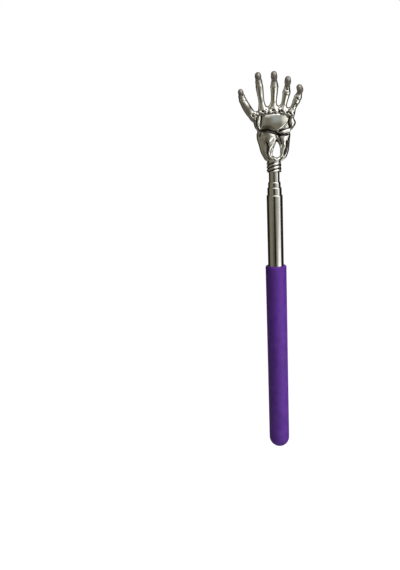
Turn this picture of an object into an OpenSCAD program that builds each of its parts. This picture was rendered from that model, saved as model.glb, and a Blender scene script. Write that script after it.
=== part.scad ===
// Telescopic back scratcher with a cast skeleton hand.
// Four nested tubes slide and turn in one another. A foam grip is bonded over the outer tube, and
// the innermost tube carries the hand on a spigot.
// Millimetres. +Z runs up the shaft, the palm faces -Y, and the origin is the middle of the grip.

/* [Grip] */
// Length of the foam grip, with its closed round end
grip_length = 114; // [90:1:140]
// Outside diameter of the grip
grip_d = 12; // [11:0.5:16]
// Foam left under the plug at the closed end
grip_end = 5; // [4:0.5:9]
// Rounding of the edge at the grip's mouth
grip_mouth_r = 0.8; // [0.4:0.1:1.2]

/* [Tubes] */
// Outside diameter of the outer tube
outer_d = 9; // [8:0.5:10]
// Step in outside diameter from one tube to the next
tube_step = 1; // [0.9:0.05:1.2]
// Wall thickness of every tube
wall = 0.25; // [0.2:0.05:0.3]
// Length of the outer tube that shows above the grip
outer_show = 40.5; // [20:0.5:80]
// Length of the second tube that shows when closed
second_show = 4.2; // [2.5:0.1:10]
// Length of the third tube that shows when closed
third_show = 3; // [2.5:0.1:10]
// Length of the inner tube that shows when closed
inner_show = 5.3; // [3:0.1:12]
// Length of the rolled-in neck at the top of a tube
neck_length = 1.6; // [1.2:0.1:3]
// Height of the rounded shoulder on a neck
neck_shoulder = 0.9; // [0.5:0.1:1.1]
// Flat rim left at the top of a neck
neck_rim = 0.12; // [0.08:0.01:0.16]

/* [Inside the tubes] */
// Height of the plug inside the outer tube
plug_height = 5; // [3:0.5:10]
// Thickness of the plug's flange under the tube
plug_flange = 1; // [0.6:0.1:2]
// Diameter of the vent hole through the plug
plug_vent_d = 2; // [1:0.5:4]
// Height of the foot bush pressed on each sliding tube
foot_height = 3; // [2:0.5:6]
// Thickness of the foot bush's inward lip
foot_lip = 0.8; // [0.5:0.1:1.5]
// Width of the inward lip that the next tube's foot stands on
foot_ledge = 0.9; // [0.6:0.1:1.2]
// Length of the two friction leaves above each foot bush
leaf_length = 16; // [8:1:30]
// Arc that each friction leaf covers, in degrees
leaf_arc = 150; // [90:5:165]

/* [Collar and spigot] */
// Length of the twisted collar under the hand
collar_length = 7; // [5:0.5:12]
// Diameter over the collar's strands
collar_d = 8.1; // [7.5:0.1:10]
// Depth of the grooves between the collar's strands
collar_groove = 0.55; // [0.3:0.05:0.8]
// Number of strands twisted round the collar
collar_strands = 3; // [2:1:6]
// Height in which a strand goes once round
collar_lead = 5.6; // [5:0.2:9]
// Length of the plain band above the twist
collar_band = 1.8; // [0.8:0.1:3]
// Length of the spigot inside the inner tube
spigot_length = 10; // [5:1:20]

/* [Hand] */
// Length of the hand from the wrist to its longest fingertip
hand_length = 46; // [42:1:50]
// Diameter of the four knuckles
knuckle_d = 4.9; // [4:0.1:5.4]
// Diameter of a finger bone at its waist
waist_d = 3.4; // [2.8:0.1:3.8]
// Diameter of a finger at its last joint
joint_d = 4.2; // [3.6:0.1:4.6]
// Diameter of the neck behind a fingertip
neck_d = 2.8; // [2.4:0.1:3.2]
// Diameter of a fingertip
tip_d = 3.6; // [3:0.1:4]
// Forward lean of a finger bone, in degrees
curl_root = 12; // [0:1:20]
// Forward lean of a fingertip, in degrees
curl_tip = 48; // [30:1:70]
// Radius of the palm's domed face
palm_dome_r = 22; // [16:1:40]
// How far the palm's dome stands forward of the shaft's axis
palm_front = 3.7; // [3.3:0.1:5]

/* [Fits] */
// Radial clearance of what slides or turns
run_gap = 0.03; // [0.02:0.01:0.05]
// Radial gap of what is pressed or bonded
seat_gap = 0.02; // [0.01:0.01:0.03]
// Radial gap on each side of a friction leaf
leaf_gap = 0.05; // [0.03:0.01:0.06]
// Gap left at the end of each tube's travel
stop_gap = 0.2; // [0.1:0.1:1]

/* [Hidden] */

steel = [0.72, 0.72, 0.70];
brass = [0.78, 0.62, 0.30];
bronze = [0.66, 0.45, 0.25];
plated = [0.80, 0.80, 0.78];
purple = [0.37, 0.20, 0.58];

round_fn = 96;
limb_sides = 10;
ball_fn = 16;
// Direction from which the rings of a limb are laid out. No limb runs along it.
depth_way = [0, 1, 0.2];

// Tubes count from 0, the outer one, to 3, the inner one.
inner = 3;
function tube_r(n) = (outer_d - n * tube_step) / 2;
function bore_r(n) = tube_r(n) - wall;

grip_bottom = -grip_length / 2;
grip_top = grip_length / 2;
plug_bottom = grip_bottom + grip_end;
plug_top = plug_bottom + plug_flange + plug_height;

shows = [outer_show, second_show, third_show, inner_show];
function foot_z(n) = plug_top + (n - 1) * foot_lip;
function tube_bottom(n) = n == 0 ? plug_bottom + plug_flange : foot_z(n) + foot_lip;
function tube_top(n) = n < 0 ? grip_top : tube_top(n - 1) + shows[n];
function leaf_z(n) = foot_z(n) + foot_height + run_gap;
function travel(n) = tube_top(n - 1) - neck_length - leaf_z(n) - leaf_length - stop_gap;

collar_z = tube_top(inner);
wrist_z = collar_z + collar_length;
echo(travels = [for (n = [1:inner]) travel(n)], wrist_z = wrist_z);

// The hand's places below are drawn for this length, and follow hand_length.
drawn_length = 46;
hand_size = hand_length / drawn_length;

// Fingers, thumb first: place of the root beside and above the wrist.
finger_roots = [[-10.1, 22.4], [-5.4, 25.9], [0.0, 26.3], [4.9, 25.6], [9.2, 24.0]];
// Their sideways lean at the root and at the tip, in degrees.
finger_leans = [[-45, -5], [-7, -6], [9, -4], [20, 2], [32, 11]];
// Their lengths of the bone up to the last joint and of the curled tip.
finger_lengths = [[14.6, 2.8], [17.0, 2.8], [15.2, 5.1], [13.2, 5.3], [11.6, 4.8]];
thumb = 0;
finger_widths = [knuckle_d, waist_d, joint_d, neck_d, tip_d];
thumb_widths = [4.3, 4.2, 4.1, 3.0, 3.1];
// Shares of the bone where its waist and last joint lie, share of the tip where it is widest, and
// the tip's width at its end as a share of its widest.
waist_at = 0.32;
joint_at = 0.75;
tip_at = 0.6;
tip_end = 0.84;
knuckle_y = -1;
finger_rings = 18;
bend_length = 1.2;

// Bones of the wrist and the sides of the palm as stations [x, y, z, radius] above the wrist.
bones = [
    // outer forearm bones
    [[-6.4, -0.3, 13.2, 2.3], [-6.0, -0.3, 8.6, 2.1], [-5.1, -0.3, 4.4, 2.0], [-3.8, -0.2, 1.3, 1.7]],
    [[7.0, 0.6, 12.6, 2.2], [6.9, 0.8, 8.2, 1.9], [6.4, 0.7, 4.2, 1.8], [5.3, 0.2, 1.5, 1.6]],
    // rims on both sides of the opening
    [[1.0, -0.6, 10.4, 1.0], [0.2, -0.8, 8.0, 0.9], [-0.8, -0.9, 5.4, 0.9], [-1.2, -1.0, 3.2, 0.9],
     [-0.6, -1.1, 1.2, 0.9], [0.6, -1.2, 0.2, 0.9]],
    [[2.8, -0.6, 10.4, 1.0], [3.6, -0.8, 7.6, 0.8], [4.1, -0.9, 5.0, 0.8], [4.1, -1.0, 2.8, 0.8],
     [3.4, -1.1, 1.1, 0.8], [2.2, -1.2, 0.2, 0.8]],
    // roots from the heads of the forearm down to the collar
    [[-0.9, -1.0, 11.0, 2.0], [-1.1, -1.3, 9.6, 1.7], [-1.8, -1.8, 7.4, 1.2], [-2.4, -1.9, 5.3, 1.1],
     [-2.7, -1.9, 3.6, 1.1], [-2.2, -2.0, 2.0, 1.0], [-1.0, -2.6, 0.6, 0.9], [0.5, -2.9, -0.2, 0.9]],
    [[5.9, -1.2, 10.6, 1.8], [5.9, -1.7, 9.2, 1.3], [5.5, -1.9, 6.9, 1.1], [4.9, -1.9, 5.0, 1.0],
     [4.6, -1.9, 3.2, 1.0], [4.2, -2.0, 1.6, 0.9], [3.2, -2.3, 0.4, 0.8], [2.2, -2.6, -0.3, 0.8]],
    // thumb's base, its web, the bone at the little finger's side and the long bead beside the palm
    [[-6.8, -0.6, 16.0, 1.7], [-8.2, -0.9, 18.4, 2.1], [-8.6, -0.9, 21.0, 2.0], [-9.9, -1.0, 22.4, 2.0]],
    [[-9.4, -1.0, 22.2, 1.6], [-7.0, -0.9, 23.6, 1.5], [-5.2, -1.0, 25.2, 1.6]],
    [[9.0, -0.9, 22.2, 1.3], [10.0, -0.7, 19.2, 1.4], [9.4, -0.8, 16.4, 1.2]],
    [[-7.4, -2.7, 22.8, 0.8], [-7.4, -2.6, 21.7, 1.0], [-7.6, -2.8, 20.5, 0.9], [-7.8, -2.9, 19.4, 1.0],
     [-7.9, -3.0, 18.5, 0.8]]
];

// Ends of the forearm under the palm, as rows [x, y, z, half width, half depth] from the collar up, and
// the height of their rounded heads.
lobes = [
    [[-1.8, -0.2, -1.2, 2.2, 3.0], [-2.8, -0.3, 1.2, 2.4, 2.2], [-3.7, -0.4, 4.0, 3.0, 2.0],
     [-3.6, -0.4, 8.0, 4.2, 2.2], [-2.9, -0.4, 12.2, 5.6, 2.6]],
    [[3.0, -0.2, -1.2, 1.4, 2.6], [4.9, -0.3, 1.2, 1.9, 2.0], [5.7, -0.4, 4.0, 2.3, 1.9],
     [6.0, -0.4, 8.0, 2.7, 2.1], [5.7, -0.4, 11.8, 3.6, 2.5]]
];
lobe_head = 2.1;
lobe_sides = 20;

// Palm: outline of its plate beside and above the wrist before rounding, and the core behind it.
palm_outline = [
    [-4.8, 22.4], [0.2, 23.0], [4.9, 22.5], [7.4, 21.4], [5.0, 18.4], [1.8, 16.2], [-1.8, 16.1], [-4.9, 17.0]
];
palm_corner_r = 1.3;
palm_back = 1.2;
palm_core_r = 1.9;
palm_core_low = [[7.9, 0, 19.4], [5.8, 0, 16.7], [1.2, 0, 15.6], [-6.8, -0.2, 16.4], [-7.8, -0.3, 20.8]];

// Heel of the palm and the pointed bump at the little finger's side: middle and half sizes.
heel_middle = [5.7, -0.6, 16.6];
heel_half = [3.6, 1.8, 3.4];
bump_middle = [10.1, -1.3, 19.0];
bump_half = [2.2, 1.9, 3.4];

// Ends of the thumb's knuckle.
thumb_knuckle = [[-9.6, -1.2, 23.6], [-8.8, -1.3, 24.2]];
thumb_knuckle_r = 1.95;

// Ends of the cup that carries the forearm bones on the collar.
cup_ends = [[-3.8, -0.3, 0.4], [4.8, -0.3, 0.5]];
cup_end_r = 1;

// Pads between the palm and the forearm, each a list of [x, y, z, radius].
pads = [
    [[-5.4, 0, 16.2, 1.8], [-5.6, -0.2, 12.4, 1.9], [2.0, -0.2, 12.8, 1.4], [1.6, 0, 16.2, 1.8]],
    [[1.6, 0, 16.2, 1.8], [3.6, -0.2, 12.4, 1.2], [7.4, -0.2, 12.6, 1.7], [7.2, 0, 16.8, 1.8]]
];

// Bones on the back of the hand run from the knuckles to a narrower row at the wrist.
back_bone_y = 0.9;
back_bone_r = 1.7;
back_bone_z = 14.5;
back_bone_x = [-3.0, 0.6, 4.0, 6.6];

// Shapes that repeat

// Radius at share s of a limb, eased between the rows [share, radius] of a table.
function eased(table, s, i = 0) =
    i + 2 >= len(table) || s <= table[i + 1][0]
        ? let (t = min(1, max(0, (s - table[i][0]) / (table[i + 1][0] - table[i][0]))))
          table[i][1] + (table[i + 1][1] - table[i][1]) * (1 - cos(180 * t)) / 2
        : eased(table, s, i + 1);

// Point on the smooth curve through stations p, at share t between stations i and i + 1.
function curve_point(p, i, t) =
    let (a = p[max(i - 1, 0)], b = p[i], c = p[i + 1], d = p[min(i + 2, len(p) - 1)])
    (2 * b + (c - a) * t + (2 * a - 5 * b + 4 * c - d) * t * t + (3 * b - a - 3 * c + d) * t * t * t) / 2;
function curve(p, steps = 3) = [
    for (i = [0:len(p) - 2]) for (k = [0:steps - 1]) curve_point(p, i, k / steps),
    p[len(p) - 1]
];

// Smooth closed curve through points p.
function closed_curve(p, steps = 4) =
    let (n = len(p), q = [for (i = [-1:n + 1]) p[(i + n) % n]])
    [for (i = [1:n]) for (k = [0:steps - 1]) curve_point(q, i, k / steps)];

function place(s) = [s[0], s[1], s[2]];
function unit(v) = v / norm(v);
function heading(p, i) = unit(place(p[min(i + 1, len(p) - 1)]) - place(p[max(i - 1, 0)]));

// Solid round limb with domed ends through stations [x, y, z, radius].
module limb(p) {
    last = len(p) - 1;
    start = heading(p, 0);
    end = heading(p, last);
    rings = concat(
        [for (a = [60, 30]) [place(p[0]) - start * p[0][3] * sin(a), p[0][3] * cos(a), start]],
        [for (i = [0:last]) [place(p[i]), p[i][3], heading(p, i)]],
        [for (a = [30, 60]) [place(p[last]) + end * p[last][3] * sin(a), p[last][3] * cos(a), end]]
    );
    count = len(rings);
    points = concat(
        [for (ring = rings)
            let (across = unit(cross(depth_way, ring[2])), up = cross(ring[2], across))
            for (j = [0:limb_sides - 1])
                let (a = 360 * j / limb_sides)
                ring[0] + ring[1] * (cos(a) * across + sin(a) * up)],
        [place(p[0]) - start * p[0][3], place(p[last]) + end * p[last][3]]
    );
    faces = concat(
        [for (i = [0:count - 2]) for (j = [0:limb_sides - 1])
            let (a = i * limb_sides + j, b = i * limb_sides + (j + 1) % limb_sides)
            each [[a, a + limb_sides, b + limb_sides], [a, b + limb_sides, b]]],
        [for (j = [0:limb_sides - 1]) [count * limb_sides, j, (j + 1) % limb_sides]],
        [for (j = [0:limb_sides - 1])
            let (a = (count - 1) * limb_sides)
            [count * limb_sides + 1, a + (j + 1) % limb_sides, a + j]]
    );
    polyhedron(points, faces);
}

// Solid of flat-sided rings, each with the same number of points, closed by flat ends.
module stacked(points, sides) {
    count = len(points) / sides;
    faces = concat(
        [for (i = [0:count - 2]) for (j = [0:sides - 1])
            let (a = i * sides + j, b = i * sides + (j + 1) % sides)
            each [[a, a + sides, b + sides], [a, b + sides, b]]],
        [[for (j = [0:sides - 1]) j]],
        [[for (j = [0:sides - 1]) count * sides - 1 - j]]
    );
    polyhedron(points, faces);
}

module ball(p, r) {
    translate(p) sphere(r, $fn = ball_fn);
}

// Ring turned from a profile of [radius, height] points.
module turned(profile) {
    rotate_extrude($fn = round_fn) polygon(profile);
}

// Grip

module grip() {
    r = grip_d / 2;
    bore = tube_r(0) + seat_gap;
    dome = [for (a = [0:6:90]) [r * sin(a), grip_bottom + r * (1 - cos(a))]];
    mouth = [for (a = [0:15:90])
        [r - grip_mouth_r * (1 - cos(a)), grip_top - grip_mouth_r * (1 - sin(a))]];
    color(purple)
        turned(concat(dome, mouth, [[bore, grip_top], [bore, plug_bottom], [0, plug_bottom]]));
}

// Tubes

// Tube n, with its top rolled in to run on the tube inside it. The inner tube ends square.
module tube(n) {
    r = tube_r(n);
    bore = bore_r(n);
    bottom = tube_bottom(n);
    top = tube_top(n);
    neck = tube_r(n + 1) + run_gap;
    rim = neck + neck_rim;
    necked = concat(
        [[bore, bottom], [r, bottom]],
        [for (a = [0:15:90]) [rim + (r - rim) * cos(a), top - neck_shoulder * (1 - sin(a))]],
        [[neck, top], [neck, top - neck_length], [bore, top - neck_length]]
    );
    plain = [[bore, bottom], [r, bottom], [r, top], [bore, top]];
    color(steel) turned(n < inner ? necked : plain);
}

// Closes the outer tube inside the grip. The vent lets air out as the tubes close.
module base_plug() {
    shank = bore_r(0) - seat_gap;
    color(brass) turned([
        [plug_vent_d / 2, plug_bottom], [tube_r(0), plug_bottom],
        [tube_r(0), plug_bottom + plug_flange], [shank, plug_bottom + plug_flange],
        [shank, plug_top], [plug_vent_d / 2, plug_top]
    ]);
}

// Pressed on the foot of tube n. Its outside runs in the tube around it and stops under that neck,
// and its lip carries the next foot when the tubes are closed.
module foot_bush(n) {
    outside = bore_r(n - 1) - run_gap;
    inside = tube_r(n) + seat_gap;
    lip = bore_r(n) - foot_ledge;
    z = foot_z(n);
    color(brass) turned([
        [lip, z], [outside, z], [outside, z + foot_height], [inside, z + foot_height],
        [inside, z + foot_lip], [lip, z + foot_lip]
    ]);
}

// Two spring leaves in the gap around tube n, which give the tube its grip on the one around it.
module friction_leaves(n) {
    inside = tube_r(n) + leaf_gap;
    outside = bore_r(n - 1) - leaf_gap;
    color(bronze)
        for (side = [0, 180])
            rotate([0, 0, side - leaf_arc / 2])
                rotate_extrude(angle = leaf_arc, $fn = round_fn)
                    translate([inside, leaf_z(n)])
                        square([outside - inside, leaf_length]);
}

// Hand

// Stations along finger n: it leans sideways from root to tip, and past its last joint curls forward.
function finger_stations(n) =
    let (
        root = hand_size * finger_roots[n],
        lean = finger_leans[n],
        bone = hand_size * finger_lengths[n][0],
        length = bone + hand_size * finger_lengths[n][1],
        neck = bone / length,
        bend = bend_length / length,
        w = n == thumb ? thumb_widths : finger_widths,
        widths = [[0, w[0]], [neck * waist_at, w[1]], [neck * joint_at, w[2]], [neck, w[3]],
                  [neck + tip_at * (1 - neck), w[4]], [1, w[4] * tip_end]],
        curls = [[0, curl_root], [neck - bend / 2, curl_root], [neck + bend / 2, curl_tip], [1, curl_tip]]
    )
    [for (
        i = 0, p = [root[0], hand_size * knuckle_y, root[1]];
        i <= finger_rings;
        i = i + 1,
        s = (i - 0.5) / finger_rings,
        aside = lean[0] + (lean[1] - lean[0]) * s,
        curl = eased(curls, s),
        p = p + length / finger_rings * [sin(aside) * cos(curl), -sin(curl), cos(aside) * cos(curl)]
    ) [p[0], p[1], p[2], eased(widths, i / finger_rings) / 2]];

// Upright oval body with a rounded head.
module lobe(rows) {
    body = curve(hand_size * rows);
    head = body[len(body) - 1];
    rings = concat(body, [for (a = [25, 50, 75])
        [head[0], head[1], head[2] + hand_size * lobe_head * sin(a), head[3] * cos(a), head[4] * cos(a)]]);
    stacked([for (q = rings) for (j = [0:lobe_sides - 1])
        let (a = 360 * j / lobe_sides)
        [q[0] + q[3] * cos(a), q[1] + q[4] * sin(a), q[2]]], lobe_sides);
}

// Eight-sided bump that comes to a point on all sides.
module pointed_bump(middle, half) {
    translate(middle) scale(half)
        polyhedron(
            [[1, 0, 0], [0, 1, 0], [-1, 0, 0], [0, -1, 0], [0, 0, 1], [0, 0, -1]],
            [for (j = [0:3]) each [[j, 4, (j + 1) % 4], [(j + 1) % 4, 5, j]]]
        );
}

// Domed plate in the middle of the palm.
module palm_plate() {
    outline = hand_size * closed_curve(palm_outline);
    low = [min([for (q = outline) q[0]]), min([for (q = outline) q[1]])];
    high = [max([for (q = outline) q[0]]), max([for (q = outline) q[1]])];
    middle = (low + high) / 2;
    intersection() {
        rotate([90, 0, 0])
            translate([0, 0, -palm_back])
                linear_extrude(palm_front + palm_back)
                    offset(r = palm_corner_r, $fn = 24) polygon(outline);
        translate([middle[0], palm_dome_r - palm_front, middle[1]]) sphere(palm_dome_r, $fn = 72);
    }
}

// Knuckles and the flat core of the palm behind its plate.
module palm_core() {
    hull() {
        for (k = [1:4])
            ball(hand_size * [finger_roots[k][0], knuckle_y, finger_roots[k][1]], palm_core_r);
        for (q = palm_core_low)
            ball(hand_size * q, palm_core_r);
    }
}

// Bones along the back of the hand, one to each knuckle.
module back_bones() {
    for (k = [1:4])
        hull() {
            ball(hand_size * [finger_roots[k][0], back_bone_y + knuckle_y, finger_roots[k][1]], back_bone_r);
            ball(hand_size * [back_bone_x[k - 1], back_bone_y, back_bone_z], back_bone_r);
        }
}

// Twisted strands round the collar, and the plain band above them.
module collar() {
    crest = collar_d / 2;
    twist_length = collar_length - collar_band;
    strands = [for (a = [0:360 / (collar_strands * 12):359.9])
        (crest - collar_groove * (1 - abs(cos(a * collar_strands / 2)))) * [cos(a), sin(a)]];
    translate([0, 0, collar_z])
        linear_extrude(twist_length, twist = -360 * twist_length / collar_lead, slices = 24)
            polygon(strands);
    translate([0, 0, collar_z + twist_length])
        cylinder(r = crest - collar_groove / 2, h = collar_band, $fn = 48);
}

// Cup that carries the forearm bones on the collar.
module wrist_cup() {
    hull() {
        translate([0, 0, -collar_band])
            cylinder(r = collar_d / 2 - collar_groove, h = collar_band, $fn = 32);
        for (q = cup_ends)
            ball(hand_size * q, cup_end_r);
    }
}

module skeleton_hand() {
    color(plated) {
        collar();
        translate([0, 0, collar_z - spigot_length])
            cylinder(r = bore_r(inner) - seat_gap, h = spigot_length + collar_length / 2, $fn = 48);
        translate([0, 0, wrist_z]) {
            for (n = [0:len(finger_roots) - 1])
                limb(finger_stations(n));
            for (bone = bones)
                limb(curve(hand_size * bone));
            for (rows = lobes)
                lobe(rows);
            for (pad = pads)
                hull()
                    for (q = hand_size * pad)
                        ball(place(q), q[3]);
            hull()
                for (q = thumb_knuckle)
                    ball(hand_size * q, thumb_knuckle_r);
            translate(hand_size * heel_middle) scale(hand_size * heel_half) sphere(1, $fn = 24);
            pointed_bump(hand_size * bump_middle, hand_size * bump_half);
            palm_plate();
            palm_core();
            back_bones();
            wrist_cup();
        }
    }
}

grip();
tube(0);  // outer_tube
base_plug();
tube(1);  // second_tube
foot_bush(1);  // second_foot_bush
friction_leaves(1);  // second_friction_leaves
tube(2);  // third_tube
foot_bush(2);  // third_foot_bush
friction_leaves(2);  // third_friction_leaves
tube(3);  // inner_tube
foot_bush(3);  // inner_foot_bush
friction_leaves(3);  // inner_friction_leaves
skeleton_hand();
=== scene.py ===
"""Looks of the telescopic back scratcher: a plated skeleton hand on nested tubes, with a purple foam grip.

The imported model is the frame. Tubes, grip and twisted collar are turned and swept with Geometry Nodes.
The cast hand is modelled as one smooth body from the same bones as its solid.
"""
import math

import bmesh
import bpy
import numpy as np
import openvdb
from mathutils import Matrix, Vector


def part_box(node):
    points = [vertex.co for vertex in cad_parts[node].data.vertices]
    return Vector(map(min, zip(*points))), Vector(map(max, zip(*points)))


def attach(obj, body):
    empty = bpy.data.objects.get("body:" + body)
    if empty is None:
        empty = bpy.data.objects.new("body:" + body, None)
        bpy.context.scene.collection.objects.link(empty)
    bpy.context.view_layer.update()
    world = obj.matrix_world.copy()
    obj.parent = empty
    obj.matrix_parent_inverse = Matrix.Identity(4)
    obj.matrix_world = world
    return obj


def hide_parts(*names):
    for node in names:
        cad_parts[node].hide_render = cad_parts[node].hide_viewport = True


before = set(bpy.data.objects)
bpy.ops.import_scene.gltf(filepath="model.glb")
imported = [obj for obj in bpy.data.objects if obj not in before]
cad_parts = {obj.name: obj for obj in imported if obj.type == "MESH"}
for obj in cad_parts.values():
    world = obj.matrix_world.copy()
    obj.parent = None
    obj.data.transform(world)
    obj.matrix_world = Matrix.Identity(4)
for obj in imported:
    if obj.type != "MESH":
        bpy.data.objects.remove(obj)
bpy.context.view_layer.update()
scene = bpy.context.scene

MM = 0.001


def top_of(node):
    """Height of a node's upper end, in millimetres."""
    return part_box(node)[1].z / MM


def bottom_of(node):
    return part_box(node)[0].z / MM


def placed(name, data):
    """New object in the scene."""
    made = bpy.data.objects.new(name, data)
    scene.collection.objects.link(made)
    return made


# Camera

PICTURE = (400, 570)
CAMERA_PLACE = (0.0, -0.3470, 0.1335)
CAMERA_YAW, CAMERA_PITCH, CAMERA_ROLL = (math.radians(a) for a in (-7.33, -14.0, -2.93))
CAMERA_FOCAL = 612.0  # in pixels of the picture
SENSOR = 36.0
CLIP = (0.01, 20)


def make_camera():
    data = bpy.data.cameras.new("camera")
    data.sensor_width = SENSOR
    data.lens = SENSOR * CAMERA_FOCAL / max(PICTURE)
    data.clip_start, data.clip_end = CLIP
    camera = placed("camera", data)
    ahead = Vector((
        math.sin(CAMERA_YAW) * math.cos(CAMERA_PITCH),
        math.cos(CAMERA_YAW) * math.cos(CAMERA_PITCH),
        math.sin(CAMERA_PITCH),
    ))
    level = Vector((math.cos(CAMERA_YAW), -math.sin(CAMERA_YAW), 0))
    above = level.cross(ahead)
    right = math.cos(CAMERA_ROLL) * level + math.sin(CAMERA_ROLL) * above
    up = right.cross(ahead)
    turn = Matrix((right, up, -ahead)).transposed()
    camera.matrix_world = Matrix.Translation(CAMERA_PLACE) @ turn.to_4x4()
    scene.camera = camera


make_camera()
scene.view_settings.view_transform = "Standard"


# Node trees and materials

class Nodes:
    """Node tree, emptied, with short ways to add and join nodes."""

    def __init__(self, tree):
        self.tree = tree
        tree.nodes.clear()

    def add(self, kind, **settings):
        node = self.tree.nodes.new(kind)
        for key, value in settings.items():
            setattr(node, key, value)
        return node

    def join(self, value, socket):
        """Feed an input from another node's output, or set it to a value."""
        if isinstance(value, bpy.types.NodeSocket):
            self.tree.links.new(value, socket)
        else:
            socket.default_value = value

    def feed(self, node, **values):
        """Join values to a node's inputs by name."""
        for key, value in values.items():
            self.join(value, node.inputs[key.replace("_", " ")])
        return node

    def math(self, operation, a, b=0.0):
        node = self.add("ShaderNodeMath", operation=operation)
        for value, socket in zip((a, b), node.inputs):
            self.join(value, socket)
        return node.outputs[0]


class Recipe(Nodes):
    """Node tree of one material."""

    def __init__(self, name):
        self.material = bpy.data.materials.new(name)
        self.material.use_nodes = True
        super().__init__(self.material.node_tree)
        self.place = self.add("ShaderNodeTexCoord").outputs["Object"]

    def stretched(self, scale):
        return self.feed(self.add("ShaderNodeMapping"), Scale=scale, Vector=self.place).outputs["Vector"]

    def noise(self, scale, detail=3.0, roughness=0.5, vector=None):
        node = self.feed(self.add("ShaderNodeTexNoise"), Scale=scale, Detail=detail, Roughness=roughness)
        return self.feed(node, Vector=vector or self.place).outputs["Fac"]

    def spread(self, value, low, high, from_low=0.3, from_high=0.7):
        node = self.add("ShaderNodeMapRange", interpolation_type="SMOOTHSTEP")
        self.feed(node, Value=value, From_Min=from_low, From_Max=from_high, To_Min=low, To_Max=high)
        return node.outputs["Result"]

    def blend(self, share, a, b):
        node = self.add("ShaderNodeMix", data_type="RGBA")
        for key, value in (("Factor", share), ("A", a), ("B", b)):
            socket = next(s for s in node.inputs if s.name == key and s.enabled)
            self.join((*value, 1.0) if isinstance(value, tuple) else value, socket)
        return next(s for s in node.outputs if s.enabled)

    def bump(self, height, distance, strength=1.0, under=None):
        node = self.feed(self.add("ShaderNodeBump"), Strength=strength, Distance=distance, Height=height)
        if under:
            self.feed(node, Normal=under)
        return node.outputs["Normal"]

    def close(self, shader):
        """Make a shader the surface of the material."""
        self.feed(self.add("ShaderNodeOutputMaterial"), Surface=shader.outputs[0])
        return self.material

    def surface(self, **values):
        return self.close(self.feed(self.add("ShaderNodeBsdfPrincipled"), **values))

    def layered(self, share, under, over):
        """Surface of one shader over another, by the share of the upper one."""
        mix = self.add("ShaderNodeMixShader")
        for value, socket in zip((share, under.outputs[0], over.outputs[0]), mix.inputs):
            self.join(value, socket)
        return self.close(mix)


def plated_casting():
    """Bright nickel plating on a casting: soft ripples, painted shade in recesses, fingertips dulled by use.
    """
    m = Recipe("plated_casting")
    painted_shade = m.add("ShaderNodeAttribute", attribute_name="painted_shade").outputs["Fac"]
    worn = m.add("ShaderNodeAttribute", attribute_name="worn").outputs["Fac"]
    haze = m.noise(420, 3)
    bright = m.blend(m.spread(haze, 0, 1), (0.76, 0.75, 0.69), (0.82, 0.812, 0.765))
    bright = m.blend(m.math("MULTIPLY", worn, 0.8), bright, (0.42, 0.375, 0.345))
    # Painted shade: hollows, grooves and two patches are darkened towards the near-black colour below.
    shade_share = m.spread(painted_shade, 0, 0.93, 0.28, 0.62)
    ripple = m.noise(650, 2)
    grain = m.noise(5200, 2)
    return m.surface(
        Base_Color=m.blend(shade_share, bright, (0.040, 0.036, 0.026)),
        Metallic=1.0,
        Roughness=m.math("ADD", m.math("ADD", m.spread(haze, 0.05, 0.12), m.math("MULTIPLY", painted_shade, 0.18)),
                         m.math("MULTIPLY", worn, 0.42)),
        Normal=m.bump(grain, 0.000004, 0.6, m.bump(ripple, 0.00006, 0.6)),
    )


def plated_tube():
    """Drawn, plated tube: faint lengthwise lines, rubbed rings from sliding and a slight haze."""
    m = Recipe("plated_tube")
    drawn = m.noise(1.0, 3, 0.6, m.stretched((5200, 5200, 45)))
    rubbed = m.noise(1.0, 2, 0.6, m.stretched((60, 60, 2600)))
    haze = m.noise(260, 3)
    return m.surface(
        Base_Color=m.blend(m.spread(haze, 0, 1), (0.74, 0.73, 0.685), (0.81, 0.80, 0.765)),
        Metallic=1.0,
        Roughness=m.math("ADD", m.spread(drawn, 0.07, 0.17), m.math("MULTIPLY", rubbed, 0.06)),
        Normal=m.bump(drawn, 0.000006, 0.5, m.bump(rubbed, 0.000003, 0.4)),
    )


def purple_foam():
    """Skinned foam rubber: fine closed cells, mottled dye and faint smudges."""
    m = Recipe("purple_foam")
    cells = m.feed(m.add("ShaderNodeTexVoronoi", feature="F1"), Scale=2600.0, Vector=m.place)
    mottle = m.noise(190, 4, 0.6)
    smudge = m.noise(45, 3)
    dye = m.blend(m.spread(mottle, 0, 1), (0.086, 0.017, 0.248), (0.116, 0.027, 0.308))
    skin = m.noise(3400, 3, 0.65)
    return m.surface(
        Base_Color=m.blend(m.spread(smudge, 0, 0.35), dye, (0.080, 0.020, 0.208)),
        Roughness=m.spread(mottle, 0.38, 0.50),
        Specular_IOR_Level=0.36,
        Normal=m.bump(skin, 0.00004, 0.5, m.bump(cells.outputs["Distance"], 0.00005, 0.5)),
    )


def turned_brass():
    """Brass turned on a lathe, dulled by handling, with fine rings from the tool."""
    m = Recipe("turned_brass")
    rings = m.noise(1.0, 2, 0.6, m.stretched((120, 120, 9000)))
    tarnish = m.noise(420, 4, 0.6)
    return m.surface(
        Base_Color=m.blend(m.spread(tarnish, 0, 1), (0.70, 0.50, 0.20), (0.50, 0.34, 0.14)),
        Metallic=1.0,
        Roughness=m.math("ADD", m.spread(tarnish, 0.20, 0.38), m.math("MULTIPLY", rings, 0.08)),
        Normal=m.bump(rings, 0.00001, 0.5),
    )


def spring_bronze():
    """Rolled bronze strip: streaks round the leaf and a warm heat tint."""
    m = Recipe("spring_bronze")
    streaks = m.noise(1.0, 3, 0.6, m.stretched((180, 180, 3200)))
    tint = m.noise(300, 3)
    return m.surface(
        Base_Color=m.blend(m.spread(tint, 0, 1), (0.60, 0.36, 0.19), (0.42, 0.23, 0.12)),
        Metallic=1.0,
        Roughness=m.spread(streaks, 0.22, 0.40),
        Normal=m.bump(streaks, 0.000008, 0.5),
    )


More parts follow.
